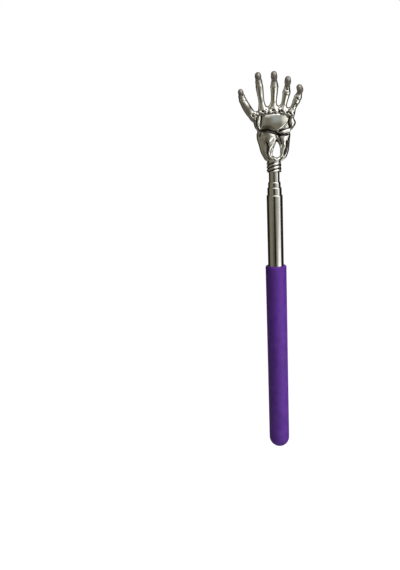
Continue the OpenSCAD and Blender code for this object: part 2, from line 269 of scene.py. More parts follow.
FINISH = {
    "plated_casting": plated_casting(),
    "plated_tube": plated_tube(),
    "foam_grip": purple_foam(),
    "brass": turned_brass(),
    "spring_bronze": spring_bronze(),
}


# Turned and swept pieces

WELD = 1e-6
SIDES = 128
SEAT_RADIUS = 1 * MM
# Edges sharper than these many degrees stay sharp, on turned pieces and on the twist.
TURNED_CREASE, TWIST_CREASE = 40, 50


def node_group(name, inputs):
    """Empty geometry tree with its named inputs and one geometry output."""
    tree = bpy.data.node_groups.new(name, "GeometryNodeTree")
    for label, kind in inputs:
        tree.interface.new_socket(label, in_out="INPUT", socket_type=kind)
    tree.interface.new_socket("Geometry", in_out="OUTPUT", socket_type="NodeSocketGeometry")
    t = Nodes(tree)
    return t, t.add("NodeGroupInput").outputs, t.add("NodeGroupOutput").inputs["Geometry"]


def finish_tree(t, geometry, material, out):
    """Close every tree the same way: joined seams, real geometry and a material."""
    weld = t.feed(t.add("GeometryNodeMergeByDistance"), Geometry=geometry, Distance=WELD)
    real = t.feed(t.add("GeometryNodeRealizeInstances"), Geometry=weld.outputs["Geometry"])
    paint = t.feed(t.add("GeometryNodeSetMaterial"), Geometry=real.outputs["Geometry"], Material=material)
    t.join(paint.outputs["Geometry"], out)
    return t.tree


def lathe_tree():
    """Turns an outline of (radius, height) points round the shaft's axis."""
    t, given, out = node_group("lathe", [
        ("Outline", "NodeSocketGeometry"),
        ("Sides", "NodeSocketInt"),
        ("Seat Radius", "NodeSocketFloat"),
        ("Finish", "NodeSocketMaterial"),
    ])
    outline = t.feed(t.add("GeometryNodeMeshToCurve"), Mesh=given["Outline"])
    circle = t.feed(t.add("GeometryNodeCurvePrimitiveCircle"),
                    Resolution=given["Sides"], Radius=given["Seat Radius"])
    sweep = t.feed(t.add("GeometryNodeCurveToMesh"),
                   Curve=circle.outputs["Curve"], Profile_Curve=outline.outputs["Curve"])
    return finish_tree(t, sweep.outputs["Mesh"], given["Finish"], out)


def twist_tree():
    """Sweeps a closed section up the shaft's axis while it turns at a steady lead."""
    t, given, out = node_group("twist", [
        ("Section", "NodeSocketGeometry"),
        ("Bottom", "NodeSocketVector"),
        ("Top", "NodeSocketVector"),
        ("Turn", "NodeSocketFloat"),
        ("Steps", "NodeSocketInt"),
        ("Finish", "NodeSocketMaterial"),
    ])
    section = t.feed(t.add("GeometryNodeMeshToCurve"), Mesh=given["Section"])
    line = t.feed(t.add("GeometryNodeCurvePrimitiveLine"), Start=given["Bottom"], End=given["Top"])
    steps = t.feed(t.add("GeometryNodeResampleCurve"), Curve=line.outputs["Curve"], Count=given["Steps"])
    turn = t.math("MULTIPLY", t.add("GeometryNodeSplineParameter").outputs["Factor"], given["Turn"])
    tilt = t.feed(t.add("GeometryNodeSetCurveTilt"), Curve=steps.outputs["Curve"], Tilt=turn)
    sweep = t.feed(t.add("GeometryNodeCurveToMesh"), Curve=tilt.outputs["Curve"],
                   Profile_Curve=section.outputs["Curve"], Fill_Caps=True)
    return finish_tree(t, sweep.outputs["Mesh"], given["Finish"], out)


LATHE = lathe_tree()
TWIST = twist_tree()


def line_mesh(name, points, closed):
    mesh = bpy.data.meshes.new(name)
    edges = [(i, i + 1) for i in range(len(points) - 1)]
    if closed:
        edges.append((len(points) - 1, 0))
    mesh.from_pydata(points, edges, [])
    return mesh


def run_tree(name, tree, mesh, **values):
    """Put a mesh through a geometry tree and keep the result as a plain mesh object."""
    piece = placed(name, mesh)
    modifier = piece.modifiers.new("make", "NODES")
    modifier.node_group = tree
    for socket in tree.interface.items_tree:
        key = socket.name.replace(" ", "_")
        if socket.in_out == "INPUT" and key in values:
            modifier[socket.identifier] = values[key]
    evaluated = piece.evaluated_get(bpy.context.evaluated_depsgraph_get())
    made = bpy.data.meshes.new_from_object(evaluated)
    piece.modifiers.clear()
    piece.data = made
    made.name = name
    bpy.data.meshes.remove(mesh)
    return piece


def crease(piece, degrees):
    """Shade smooth, with edges sharper than an angle kept sharp and faces pointing outwards."""
    work = bmesh.new()
    work.from_mesh(piece.data)
    bmesh.ops.recalc_face_normals(work, faces=work.faces)
    for face in work.faces:
        face.smooth = True
    for edge in work.edges:
        if len(edge.link_faces) == 2:
            edge.smooth = edge.calc_face_angle(0.0) < math.radians(degrees)
    work.to_mesh(piece.data)
    work.free()


def lathe(name, outline, finish, closed=True):
    """Turned piece from an outline of (radius, height) points in millimetres."""
    points = [(r * MM - SEAT_RADIUS, -z * MM, 0) for r, z in outline]
    piece = run_tree(name, LATHE, line_mesh(name + "_outline", points, closed),
                     Sides=SIDES, Seat_Radius=SEAT_RADIUS, Finish=FINISH[finish])
    crease(piece, TURNED_CREASE)
    return piece


def arc(centre, radii, start, end, steps):
    """Points on a quarter or other share of an ellipse, in (radius, height)."""
    angles = [math.radians(start + (end - start) * k / steps) for k in range(steps + 1)]
    return [(centre[0] + radii[0] * math.cos(a), centre[1] + radii[1] * math.sin(a)) for a in angles]


# Grip

GRIP_R = 6.0
GRIP_MOUTH_R = 0.8
GRIP_BORE = 4.52
GRIP_PLUG_FLOOR = 5.0
GRIP_END_STEPS, GRIP_RINGS, GRIP_MOUTH_STEPS = 24, 40, 8


def make_grip():
    low, high = bottom_of("grip"), top_of("grip")
    straight = high - GRIP_MOUTH_R - low - GRIP_R
    mouth = (GRIP_R - GRIP_MOUTH_R, high - GRIP_MOUTH_R)
    outline = (
        arc((0, low + GRIP_R), (GRIP_R, GRIP_R), -90, 0, GRIP_END_STEPS)
        + [(GRIP_R, low + GRIP_R + straight * k / GRIP_RINGS) for k in range(1, GRIP_RINGS)]
        + arc(mouth, (GRIP_MOUTH_R, GRIP_MOUTH_R), 0, 90, GRIP_MOUTH_STEPS)
        + [(GRIP_BORE, high), (GRIP_BORE, low + GRIP_PLUG_FLOOR), (0, low + GRIP_PLUG_FLOOR)]
    )
    grip = lathe("foam_grip", outline, "foam_grip", closed=False)
    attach(grip, "handle")
    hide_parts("grip")


# Tubes

# Node, body and outer radius of each tube, from the widest.
TUBES = [
    ("outer_tube", "handle", 4.5),
    ("second_tube", "second_stage", 4.0),
    ("third_tube", "third_stage", 3.5),
    ("inner_tube", "head", 3.0),
]
WALL = 0.25
RUN_GAP = 0.03
NECK_LENGTH = 1.6
NECK_SHOULDER = 0.9
NECK_RIM = 0.12
NECK_STEPS = 10


def make_tubes():
    for k, (node, body, r) in enumerate(TUBES):
        low, high, bore = bottom_of(node), top_of(node), r - WALL
        if k + 1 < len(TUBES):
            neck = TUBES[k + 1][2] + RUN_GAP
            rim = neck + NECK_RIM
            shoulder = arc((rim, high - NECK_SHOULDER), (r - rim, NECK_SHOULDER), 0, 90, NECK_STEPS)
            outline = ([(bore, low), (r, low)] + shoulder
                       + [(neck, high), (neck, high - NECK_LENGTH), (bore, high - NECK_LENGTH)])
        else:
            outline = [(bore, low), (r, low), (r, high), (bore, high)]
        tube = lathe("plated_" + node, outline, "plated_tube")
        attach(tube, body)
        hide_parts(node)


# Collar under the hand

COLLAR_LENGTH = 7.0
COLLAR_R = 4.12
COLLAR_GROOVE = 0.48
# Share of the full painted shade that the bottom of the twist's grooves gets.
COLLAR_SHADE = 0.8
COLLAR_STRANDS, STRAND_POINTS = 3, 28
COLLAR_LEAD, COLLAR_STEPS = 5.6, 40
COLLAR_BAND, BAND_EDGE, BAND_STEPS = 1.8, 0.35, 5
SPIGOT_R = 2.73
SPIGOT_LENGTH = 10.0
SPIGOT_RING = 1.0  # height above the tube's end of a ring of points
COLLAR_Z = top_of("inner_tube")
WRIST_Z = COLLAR_Z + COLLAR_LENGTH


def make_collar():
    """Twisted strands, then the band over them with the spigot that sits in the tube."""
    section = []
    count = COLLAR_STRANDS * STRAND_POINTS
    for k in range(count):
        a = 2 * math.pi * k / count
        r = COLLAR_R - COLLAR_GROOVE * (1 - abs(math.cos(a * COLLAR_STRANDS / 2)))
        section.append((r * MM * math.cos(a), r * MM * math.sin(a), 0))
    twist = COLLAR_LENGTH - COLLAR_BAND
    strands = run_tree(
        "collar_twist", TWIST, line_mesh("collar_section", section, True),
        Bottom=(0, 0, COLLAR_Z * MM), Top=(0, 0, (COLLAR_Z + twist) * MM),
        Turn=2 * math.pi * twist / COLLAR_LEAD, Steps=COLLAR_STEPS, Finish=FINISH["plated_casting"],
    )
    crease(strands, TWIST_CREASE)
    radii = [v.co.xy.length / MM for v in strands.data.vertices]
    # Painted shade, darkest at the bottom of the twist's grooves.
    shade_share = [COLLAR_SHADE * (COLLAR_R - r) / COLLAR_GROOVE for r in radii]
    strands.data.attributes.new("painted_shade", "FLOAT", "POINT").data.foreach_set("value", shade_share)
    band_r = COLLAR_R - COLLAR_GROOVE / 2
    corner, rounding = band_r - BAND_EDGE, (BAND_EDGE, BAND_EDGE)
    foot, low, top = COLLAR_Z - SPIGOT_LENGTH, WRIST_Z - COLLAR_BAND, WRIST_Z
    spigot = lathe("collar_band", (
        [(0, foot), (SPIGOT_R, foot), (SPIGOT_R, COLLAR_Z + SPIGOT_RING), (SPIGOT_R, low)]
        + arc((corner, low + BAND_EDGE), rounding, -90, 0, BAND_STEPS)
        + arc((corner, top - BAND_EDGE), rounding, 0, 90, BAND_STEPS)
        + [(0, top)]
    ), "plated_casting", closed=False)
    for piece in (strands, spigot):
        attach(piece, "head")
        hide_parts("skeleton_hand")


# Cast hand, in millimetres above the wrist

# Grid step, reach of the distances, and the corners of the grid.
STEP = 0.2
FAR = 3.0
GRID_LOW, GRID_HIGH = (-20, -12, -3), (18.5, 5, 48)
# Rounds and pushes that even out the grid's small steps.
SETTLE_ROUNDS, SETTLE_PUSHES = 8, (0.5, -0.52)

# Fingers, thumb first: root beside and above the wrist, lean at root and tip, lengths of bone and tip.
FINGERS = [
    (-10.1, 22.4, -45, -5, 14.6, 2.4),
    (-5.4, 25.9, -7, -6, 17.0, 2.6),
    (0.0, 26.3, 9, -4, 15.2, 4.6),
    (4.9, 25.6, 20, 2, 13.2, 4.7),
    (9.2, 24.0, 32, 17, 11.6, 4.3),
]
FINGER_WIDTHS = (4.9, 3.4, 4.2, 2.8, 3.6)
THUMB_WIDTHS = (4.3, 4.2, 4.1, 3.0, 3.1)
WAIST_AT, JOINT_AT, TIP_AT, TIP_END = 0.32, 0.75, 0.6, 0.92
# Bend of a tip to the side, from none at its neck to this many degrees at its end.
TIP_HOOKS = (0, 0, 0, 0, -50)
KNUCKLE_Y = -1.0
CURL_ROOT, CURL_TIP, BEND_LENGTH = 12, 52, 1.2
FINGER_RINGS = 72
# Share of the solid's finger width, which keeps the round skin inside the solid's box.
FINGER_FIT = 0.968
KNUCKLE_R = 2.45
# How far each knuckle's two ends lie in front of the finger's root, and below it.
KNUCKLE_AHEAD, KNUCKLE_BELOW = 0.3, (0.4, 0.3)
# Height from which the palm's core moves forward to the knuckles, and the height over which it does.
KNUCKLE_FROM, KNUCKLE_RAMP = 22.0, 3.5
# Worn fingertips: how far from the tip's middle, and the length over which the wear sets in.
WORN_REACH, WORN_EDGE = 2.6, 1.0
# Raised rings at a finger's last joint: distance from the tip's neck back along the bone, height, half width.
JOINT_RINGS = [
    [(1.1, 0.32, 0.6), (2.9, 0.18, 0.6)],
    [(0.5, 0.36, 0.42), (1.8, 0.32, 0.42)],
    [(0.5, 0.30, 0.42), (1.8, 0.28, 0.42), (3.2, 0.24, 0.45)],
    [(0.5, 0.18, 0.45), (3.5, 0.18, 0.5)],
    [(0.8, 0.20, 0.45), (2.4, 0.15, 0.4), (4.8, 0.10, 0.5)],
]
# Pits on the palm side of a finger: distance back from the neck, shift to the side, radius and depth.
JOINT_PITS = [[(0.1, 0.9, 0.45, 0.7)], [], [], [(2.1, 0, 0.5, 1.0)], [(3.4, 0, 0.5, 0.9)]]
JOINT_PIT_RUN, JOINT_PIT_SEAM = (0.3, -0.1), 0.4
# How far in front of the surface a pit's ends lie, and the share of its radius left at its floor.
PIT_START, PIT_FLOOR = 0.2, 0.4

# Forearm ends: rows (height, x, y, half width, half depth) and the height of the head, which is rounded.
LOBES = [
    ([(15.0, -3.0, -0.4, 4.2, 2.4), (12.0, -3.1, -0.4, 4.6, 2.5), (8.0, -3.6, -0.3, 4.0, 2.1),
      (4.0, -3.7, -0.3, 3.0, 1.8), (1.2, -2.8, -0.3, 2.4, 2.2), (-1.2, -1.6, -0.2, 1.9, 3.0)], 19.0),
    ([(15.0, 5.4, -0.6, 3.2, 1.6), (12.0, 5.4, -0.9, 3.3, 2.0), (8.0, 5.4, -0.4, 2.5, 1.8),
      (4.0, 5.2, -0.3, 2.2, 1.7), (1.2, 4.9, -0.3, 1.9, 2.0), (-1.2, 3.0, -0.2, 1.4, 2.6)], 13.2),
]
LOBE_ROUNDING = 3.0
# Bones are limbs through places (x, y, z, radius). Bumps have a middle and half sizes.
WRIST_BONES = [
    # outer forearm bones, then the rims on both sides of the opening
    [(-6.9, -0.3, 13.4, 2.3), (-6.9, -0.3, 11.6, 2.2), (-6.6, -0.3, 10.0, 2.1), (-6.0, -0.3, 8.2, 2.1),
     (-5.1, -0.3, 4.4, 2.0), (-3.8, -0.2, 1.3, 1.7)],
    [(7.0, 0.6, 12.6, 2.2), (6.9, 0.8, 8.2, 1.9), (6.4, 0.7, 4.2, 1.8), (5.3, 0.2, 1.5, 1.6)],
    [(1.0, -0.6, 10.4, 1.0), (0.2, -0.8, 8.0, 0.9), (-0.8, -0.9, 5.4, 0.9), (-1.2, -1.0, 3.2, 0.9),
     (-0.6, -1.1, 1.2, 0.9), (0.6, -1.2, 0.2, 0.9)],
    [(2.8, -0.6, 10.4, 1.0), (3.6, -0.8, 7.6, 0.8), (4.1, -0.9, 5.0, 0.8), (4.1, -1.0, 2.8, 0.8),
     (3.4, -1.1, 1.1, 0.8), (2.2, -1.2, 0.2, 0.8)],
]
PALM_HEEL = ((5.7, -0.6, 16.6), (3.6, 1.8, 3.4))
PALM_HEEL_POWER = 2
THUMB_BASE = [(-6.6, 0.1, 15.8, 1.7), (-8.2, -0.9, 18.4, 2.1), (-8.6, -0.9, 21.0, 2.0),
              (-9.9, -1.0, 22.4, 2.0)]
# Inner side of the thumb's bone, which is wider and flatter than the fingers'.
THUMB_SIDE = [(-10.6, -1.6, 24.4, 1.5), (-11.8, -2.0, 25.95, 1.5), (-13.7, -2.8, 29.1, 1.4),
              (-14.6, -2.9, 30.6, 1.1)]
THUMB_KNUCKLE = [(-9.6, -1.2, 23.6, 2.0), (-8.8, -1.3, 24.2, 1.9)]
THUMB_WEB = [(-9.4, -1.0, 22.2, 1.6), (-7.0, -0.9, 23.6, 1.5), (-5.2, -1.0, 25.2, 1.6)]
SIDE_BONE = [(9.0, -0.9, 22.2, 1.3), (10.0, -0.7, 19.2, 1.4), (9.4, -0.8, 16.4, 1.2)]
SIDE_BUMP = ((10.1, -1.3, 19.0), (2.2, 1.9, 3.4))
SIDE_BUMP_POWER = 1.35
PALM_OUTLINE = [(-4.8, 22.4), (0.2, 23.0), (4.9, 22.5), (7.4, 21.4), (5.0, 18.4), (1.8, 16.2), (-1.8, 16.1),
                (-4.9, 17.0)]
PALM_CORNER_R = 1.3
PALM_DOME_R, PALM_FRONT, PALM_BACK, PALM_RIM = 22.0, 3.7, 1.2, 0.8
# The plate falls off a little more in its lower corner beside the thumb: how far, from where, and over
# what width and height.
PALM_DROOP, PALM_DROOP_X, PALM_DROOP_Z = 0.3, 2.5, 18.5
PALM_DROOP_WIDTH, PALM_DROOP_HEIGHT = 4.0, 2.4
PALM_CORE_R = 1.9
PALM_CORE = [(-5.2, 25.9), (0.2, 26.3), (5.0, 25.6), (9.2, 24.0), (7.9, 19.4), (5.8, 16.7), (1.2, 15.6),
             (-6.8, 16.4), (-7.8, 20.8)]
# Pads between bones: corners beside and above the wrist, depth and half thickness.
PAD_SHIFT = 1  # farthest that a pad's middle moves forward
PADS = [
    ([(-5.4, 16.2), (-5.6, 12.4), (2.0, 12.8), (1.6, 16.2)], -0.1, 1.7),
    ([(1.6, 16.2), (3.6, 12.4), (7.4, 12.6), (7.2, 16.8)], -0.1, 1.6),
]
CUP = [(-3.8, -0.3, 0.4, 1.1), (4.8, -0.3, 0.5, 1.1)]
CUP_NECK = [(0, 0, -1.5, 3.3), (0, 0, -0.4, 3.3)]
BACK_BONE_Y, BACK_BONE_R, BACK_BONE_Z = 0.9, 1.7, 14.5
BACK_BONE_X = (-3.0, 0.6, 4.0, 6.6)
# Opening between the forearm bones, wide below and pointed above, and how far it is cut to both sides.
OPENING = [(1.5, 3.1, 2.1), (1.8, 5.7, 1.6), (2.0, 7.6, 0.8), (1.75, 8.7, 0.25)]
OPENING_REACH = 8
# Width of the fillet where each kind of shape meets the rest.
SEAMS = {
    "cup": 0.7, "pad": 0.8, "back_bone": 0.6, "lobe": 0.6, "wrist_bone": 0.9, "opening": 0.6,
    "thumb_base": 0.8, "side_bone": 0.5, "side_bump": 0.15, "heel": 0.4, "finger": 1.5, "knuckle": 0.5,
    "thumb_knuckle": 0.6, "plate": 0.2,
}

# Small relief on the palm side, laid on the surface that is there. Beads: places (x, z, radius, how far
# they stand proud) and seam. Grooves: places (x, z, radius of the cutting rod), depth, seam and how far
# the painted shade in them reaches past the rod. Pits: x, z, half the run in x and z, radius, depth and seam.
BEADS = [
    # heads of the two forearm ends
    ([(-2.6, 14.2, 3.0, 0.3), (-2.6, 13.0, 3.2, 0.4), (-2.7, 11.6, 3.0, 0.25), (-2.8, 10.0, 2.6, 0.0)], 1.8),
    ([(4.8, 12.6, 2.2, 0.2), (4.9, 11.6, 2.6, 0.4), (5.2, 10.4, 2.2, 0.2)], 1.4),
    # their roots, which run down beside the opening to the collar
    ([(0.5, 11.0, 1.0, 0.3), (0.2, 10.2, 1.2, 0.5), (-0.8, 8.6, 1.6, 0.8), (-2.0, 6.9, 1.6, 1.0),
      (-2.5, 5.2, 1.3, 1.0), (-2.8, 3.6, 1.1, 1.0), (-2.3, 2.0, 0.9, 0.9), (-1.2, 0.8, 0.8, 0.7),
      (0.5, -0.2, 0.9, 0.5)], 0.4),
    ([(5.3, 10.4, 1.6, 0.2), (5.6, 9.0, 1.5, 0.6), (5.4, 6.7, 1.5, 0.9), (4.8, 5.0, 1.3, 1.0),
      (4.5, 3.2, 1.1, 1.0), (4.2, 1.8, 0.9, 0.8), (3.2, 0.4, 0.8, 0.6), (2.2, -0.3, 0.8, 0.5)], 0.4),
    # small strand that crosses above the opening
    ([(1.4, 13.2, 0.6, 0.3), (2.1, 12.2, 0.7, 0.5), (1.9, 10.9, 0.6, 0.5)], 0.3),
    # boss under the opening
    ([(0.5, 0.2, 0.8, 0.4), (1.65, -0.3, 1.0, 0.5), (2.8, 0.2, 0.8, 0.4)], 0.5),
    # two ridges on the heel of the palm
    ([(4.4, 16.0, 0.7, 0.1), (6.2, 16.4, 0.9, 0.5), (8.2, 17.4, 1.0, 0.6)], 0.3),
    ([(3.6, 14.2, 0.7, 0.3), (6.0, 14.3, 1.0, 0.6), (8.4, 15.0, 1.0, 0.6)], 0.3),
    # long bead beside the plate
    ([(-7.5, 22.8, 0.85, 1.0), (-7.6, 21.7, 1.05, 1.1), (-7.8, 20.5, 0.9, 1.0), (-8.0, 19.4, 1.0, 1.1),
      (-8.1, 18.5, 0.8, 0.9)], 0.15),
    # pairs of knobs at the knuckles
    ([(-7.0, 25.2, 1.0, 0.5), (-7.0, 25.3, 1.0, 0.5)], 0.4),
    ([(-3.8, 25.4, 1.2, 0.7), (-3.7, 25.6, 1.2, 0.7)], 0.4),
    ([(-1.5, 25.3, 1.1, 0.7), (-1.4, 25.5, 1.1, 0.7)], 0.4),
    ([(1.7, 25.2, 1.2, 0.7), (1.8, 25.5, 1.2, 0.7)], 0.4),
    ([(3.5, 26.2, 0.8, 0.4), (3.6, 26.4, 0.8, 0.4)], 0.4),
    ([(6.2, 24.4, 1.2, 0.7), (6.3, 24.8, 1.2, 0.7)], 0.4),
    ([(10.4, 23.2, 1.0, 0.5), (10.4, 23.4, 1.0, 0.5)], 0.4),
    ([(-9.9, 25.0, 1.0, 0.5), (-9.8, 25.1, 1.0, 0.5)], 0.4),
    ([(-8.5, 24.4, 0.9, 0.5), (-8.4, 24.5, 0.9, 0.5)], 0.4),
]
GROOVES = [
    # round the long bead
    ([(-8.8, 22.8, 0.2), (-9.0, 20.6, 0.35), (-9.2, 18.0, 0.2)], 0.4, 0.25, 0.2),
    ([(-6.4, 23.2, 0.2), (-6.6, 20.6, 0.2), (-6.9, 17.4, 0.2)], 0.4, 0.2, 0.2),
    # outside of the left root, and of the right root
    ([(-4.1, 9.5, 0.1), (-3.6, 8.2, 0.4), (-3.2, 6.8, 0.5), (-3.3, 5.0, 0.4), (-3.5, 3.6, 0.3),
      (-3.1, 2.2, 0.1)], 0.5, 0.5, 0.5),
    ([(8.0, 9.8, 0.1), (7.8, 8.6, 0.3), (7.4, 6.7, 0.4), (6.8, 5.0, 0.4), (6.4, 3.2, 0.3),
      (5.8, 1.8, 0.1)], 0.5, 0.5, 0.4),
    # under the plate
    ([(-6.4, 15.7, 0.4), (-3.8, 15.5, 0.7), (-1.4, 14.9, 0.75), (1.0, 14.0, 0.65), (2.8, 13.2, 0.6),
      (4.6, 12.8, 0.55), (6.4, 12.8, 0.5), (8.2, 13.0, 0.35)], 1.0, 0.3, 0.35),
    # between the thumb's base and the left forearm end
    ([(-7.0, 15.4, 0.4), (-7.15, 14.4, 0.6), (-7.5, 12.7, 0.35)], 0.5, 0.3, 0.3),
    # between the two ridges of the heel
    ([(3.4, 15.2, 0.1), (5.3, 15.6, 0.18), (7.0, 15.9, 0.2), (8.2, 16.2, 0.15)], 0.3, 0.2, 0.15),
    # beside the crossing strand
    ([(2.8, 13.6, 0.35), (3.1, 11.8, 0.45), (3.9, 9.9, 0.35), (4.4, 8.2, 0.2)], 0.6, 0.3, 0.2),
    # left of the bump at the little finger's side
    ([(8.9, 22.2, 0.2), (8.2, 20.0, 0.35), (8.7, 17.2, 0.3)], 0.4, 0.25, 0.2),
    # from the collar up along the roots
    ([(-3.4, 1.0, 0.2), (-2.2, -0.4, 0.4), (-0.4, -1.7, 0.3)], 0.4, 0.4, 0.3),
    ([(4.6, 0.9, 0.2), (3.4, -0.3, 0.4), (1.8, -1.7, 0.3)], 0.4, 0.4, 0.3),
]
PITS = [
    (-5.4, 25.6, 0.4, -0.2, 0.5, 1.3, 0.6), (0.2, 26.0, 0.5, 0.1, 0.5, 1.3, 0.6),
    (4.7, 25.3, 0.4, -0.3, 0.5, 1.3, 0.6), (9.1, 24.0, 0.3, -0.4, 0.5, 1.3, 0.6),
    (3.4, 25.0, 0.2, 0.3, 0.4, 1.0, 0.4), (7.9, 24.6, 0.3, 0.2, 0.45, 1.0, 0.4),
    (-10.8, 23.4, 0.3, -0.3, 0.5, 1.0, 0.4), (-8.0, 23.2, 0.2, 0.3, 0.45, 0.9, 0.3),
    (8.7, 17.0, 0, 0.5, 0.45, 1.1, 0.3), (1.7, 9.7, 0.2, -0.3, 0.4, 0.9, 0.3),
    (2.9, 13.6, 0.4, -0.2, 0.5, 1.0, 0.3),
]

# Shade is painted where the surface is closed in at these distances, and along the grooves, where it stays
# off faces that look backwards.
OPEN_REACHES = (0.5, 1.1, 2.0)
SHADE_TO_BACK = 0.3
# Painted shade in the palm's lower left corner and on the thumb's lower half: middle x and z, half width,
# half height, and how much darker the middle is than the edge. It lies on faces that look forwards.
SHADE_PATCHES = [(-3.5, 15.8, 4.6, 3.9, 0.36), (-12.0, 28.0, 2.7, 3.6, 0.34)]
SHADE_PATCH_EDGE = 0.28
SHADE_PATCH_TO_FRONT = -0.3


def curve(stations, steps=6):
    """Smooth curve through stations."""
    p = np.array(stations, float)
    out = []
    for i in range(len(p) - 1):
        a, b, c, d = p[max(i - 1, 0)], p[i], p[i + 1], p[min(i + 2, len(p) - 1)]
        for t in np.arange(steps) / steps:
            out.append((2 * b + (c - a) * t + (2 * a - 5 * b + 4 * c - d) * t ** 2
                        + (3 * b - a - 3 * c + d) * t ** 3) / 2)
    return np.array(out + [p[-1]])


def round_outline(corners, steps=5):
    """Smooth closed outline through corners."""
    p = np.array(corners, float)
    return curve(np.concatenate([p[-2:], p, p[:2]]), steps)[2 * steps:(len(p) + 2) * steps]


def eased(table, s):
    """Value at s, eased between the rows (place, value) of a table."""
    for (a, low), (b, high) in zip(table, table[1:]):
        if s <= b:
            t = min(1.0, max(0.0, (s - a) / (b - a)))
            return low + (high - low) * (1 - math.cos(math.pi * t)) / 2
    return table[-1][1]


def finger_stations(k):
    """Stations along a finger, with the rings at its last joint, and the share where its tip's neck lies."""
    x, z, lean_root, lean_tip, bone, tip = FINGERS[k]
    w = THUMB_WIDTHS if k == 0 else FINGER_WIDTHS
    length = bone + tip
    neck, bend = bone / length, BEND_LENGTH / length
    widths = [(0, w[0]), (neck * WAIST_AT, w[1]), (neck * JOINT_AT, w[2]), (neck, w[3]),
              (neck + TIP_AT * (1 - neck), w[4]), (1, w[4] * TIP_END)]
    curls = [(0, CURL_ROOT), (neck - bend / 2, CURL_ROOT), (neck + bend / 2, CURL_TIP), (1, CURL_TIP)]
    p = np.array([x, KNUCKLE_Y, z])
    out = []
    for i in range(FINGER_RINGS + 1):
        s = i / FINGER_RINGS
        if i:
            middle = s - 0.5 / FINGER_RINGS
            hook = TIP_HOOKS[k] * max(0.0, (middle - neck) / (1 - neck))
            lean = math.radians(lean_root + (lean_tip - lean_root) * middle + hook)
            curl = math.radians(eased(curls, middle))
            p = p + length / FINGER_RINGS * np.array(
                [math.sin(lean) * math.cos(curl), -math.sin(curl), math.cos(lean) * math.cos(curl)])
        r = FINGER_FIT * eased(widths, s) / 2
        for back, height, half in JOINT_RINGS[k]:
            r += height * math.exp(-((s * length - bone + back) / half) ** 2)
        out.append((*p, r))
    return np.array(out), neck


def soft_min(a, b, seam):
    """Smaller of two distances, with a fillet about as wide as the seam where they meet."""
    if seam <= 0:
        return np.minimum(a, b)
    near = np.maximum(seam - np.abs(a - b), 0) / seam
    return np.minimum(a, b) - near * near * seam * 0.25


def near_slices(axes, low, high):
    """Parts of the axes that lie between two corners."""
    return tuple(slice(*np.searchsorted(axis.ravel(), (a, b))) for axis, a, b in zip(axes, low, high))


def limb(stations):
    """Round limb through stations (x, y, z, radius), as its corners and a distance to it."""
    p = np.array(stations, np.float32)

    def distance(x, y, z):
        best = np.full(np.broadcast_shapes(x.shape, y.shape, z.shape), FAR, np.float32)
        for a, b in zip(p, p[1:]):
            reach = max(a[3], b[3]) + FAR
            part = near_slices((x, y, z), np.minimum(a, b)[:3] - reach, np.maximum(a, b)[:3] + reach)
            dx, dy, dz = x[part[0]] - a[0], y[:, part[1]] - a[1], z[:, :, part[2]] - a[2]
            way = b[:3] - a[:3]
            t = np.clip((dx * way[0] + dy * way[1] + dz * way[2]) / max(float(way @ way), 1e-9), 0, 1)
            d = np.sqrt((dx - t * way[0]) ** 2 + (dy - t * way[1]) ** 2 + (dz - t * way[2]) ** 2)
            best[part] = np.minimum(best[part], d - (a[3] + t * (b[3] - a[3])))
        return best

    r = p[:, 3].max()
    return p[:, :3].min(0) - r, p[:, :3].max(0) + r, distance


def flat_distance(corners, x, z):
    """Distance to a convex or hollow outline beside and above the wrist, negative inside."""
    p = np.array(corners, np.float32)
    best = np.full(np.broadcast_shapes(x.shape, z.shape), 1e9, np.float32)
    inside = np.zeros(best.shape, bool)
    for a, b in zip(p, np.roll(p, -1, 0)):
        way = b - a
        t = np.clip(((x - a[0]) * way[0] + (z - a[1]) * way[1]) / (way @ way), 0, 1)
        best = np.minimum(best, np.hypot(x - a[0] - t * way[0], z - a[1] - t * way[1]))
        crosses = (a[1] > z) != (b[1] > z)
        if b[1] != a[1]:
            inside ^= crosses & (x < a[0] + (z - a[1]) / (b[1] - a[1]) * way[0])
    return np.where(inside, -best, best)


def flat_box(corners, low_y, high_y, margin):
    """Corners of a box round an outline."""
    p = np.array(corners)
    low, high = p.min(0) - margin, p.max(0) + margin
    return np.array([low[0], low_y, low[1]]), np.array([high[0], high_y, high[1]])


def pad(corners, depth, half, knuckles=None):
    """Slab with a round edge. Above the height knuckles[0] its middle moves forward to depth knuckles[1]."""
    def distance(x, y, z):
        middle = depth
        if knuckles:
            middle = depth + (knuckles[1] - depth) * np.clip((z - knuckles[0]) / KNUCKLE_RAMP, 0, 1)
        return np.hypot(np.maximum(flat_distance(corners, x, z), 0), y - middle) - half

    low, high = flat_box(corners, depth - half - PAD_SHIFT, depth + half + PAD_SHIFT, half)
    return low, high, distance


def dome_plate():
    """Domed plate in the middle of the palm, with a rounded rim."""
    p = round_outline(PALM_OUTLINE)
    middle = (p.min(0) + p.max(0)) / 2

    def distance(x, y, z):
        edge = flat_distance(p, x, z) - PALM_CORNER_R
        ball = np.sqrt((x - middle[0]) ** 2 + (y - PALM_DOME_R + PALM_FRONT) ** 2
                       + (z - middle[1]) ** 2) - PALM_DOME_R
        down = np.clip((PALM_DROOP_Z - z) / PALM_DROOP_HEIGHT, 0, 1) ** 2
        low_corner = down * np.clip((PALM_DROOP_X - x) / PALM_DROOP_WIDTH, 0, 1)
        face = -soft_min(-edge, -ball - PALM_DROOP * low_corner, PALM_RIM)
        return np.maximum(face, y - PALM_BACK)

    low, high = flat_box(PALM_OUTLINE, -PALM_FRONT, PALM_BACK, PALM_CORNER_R)
    return low, high, distance


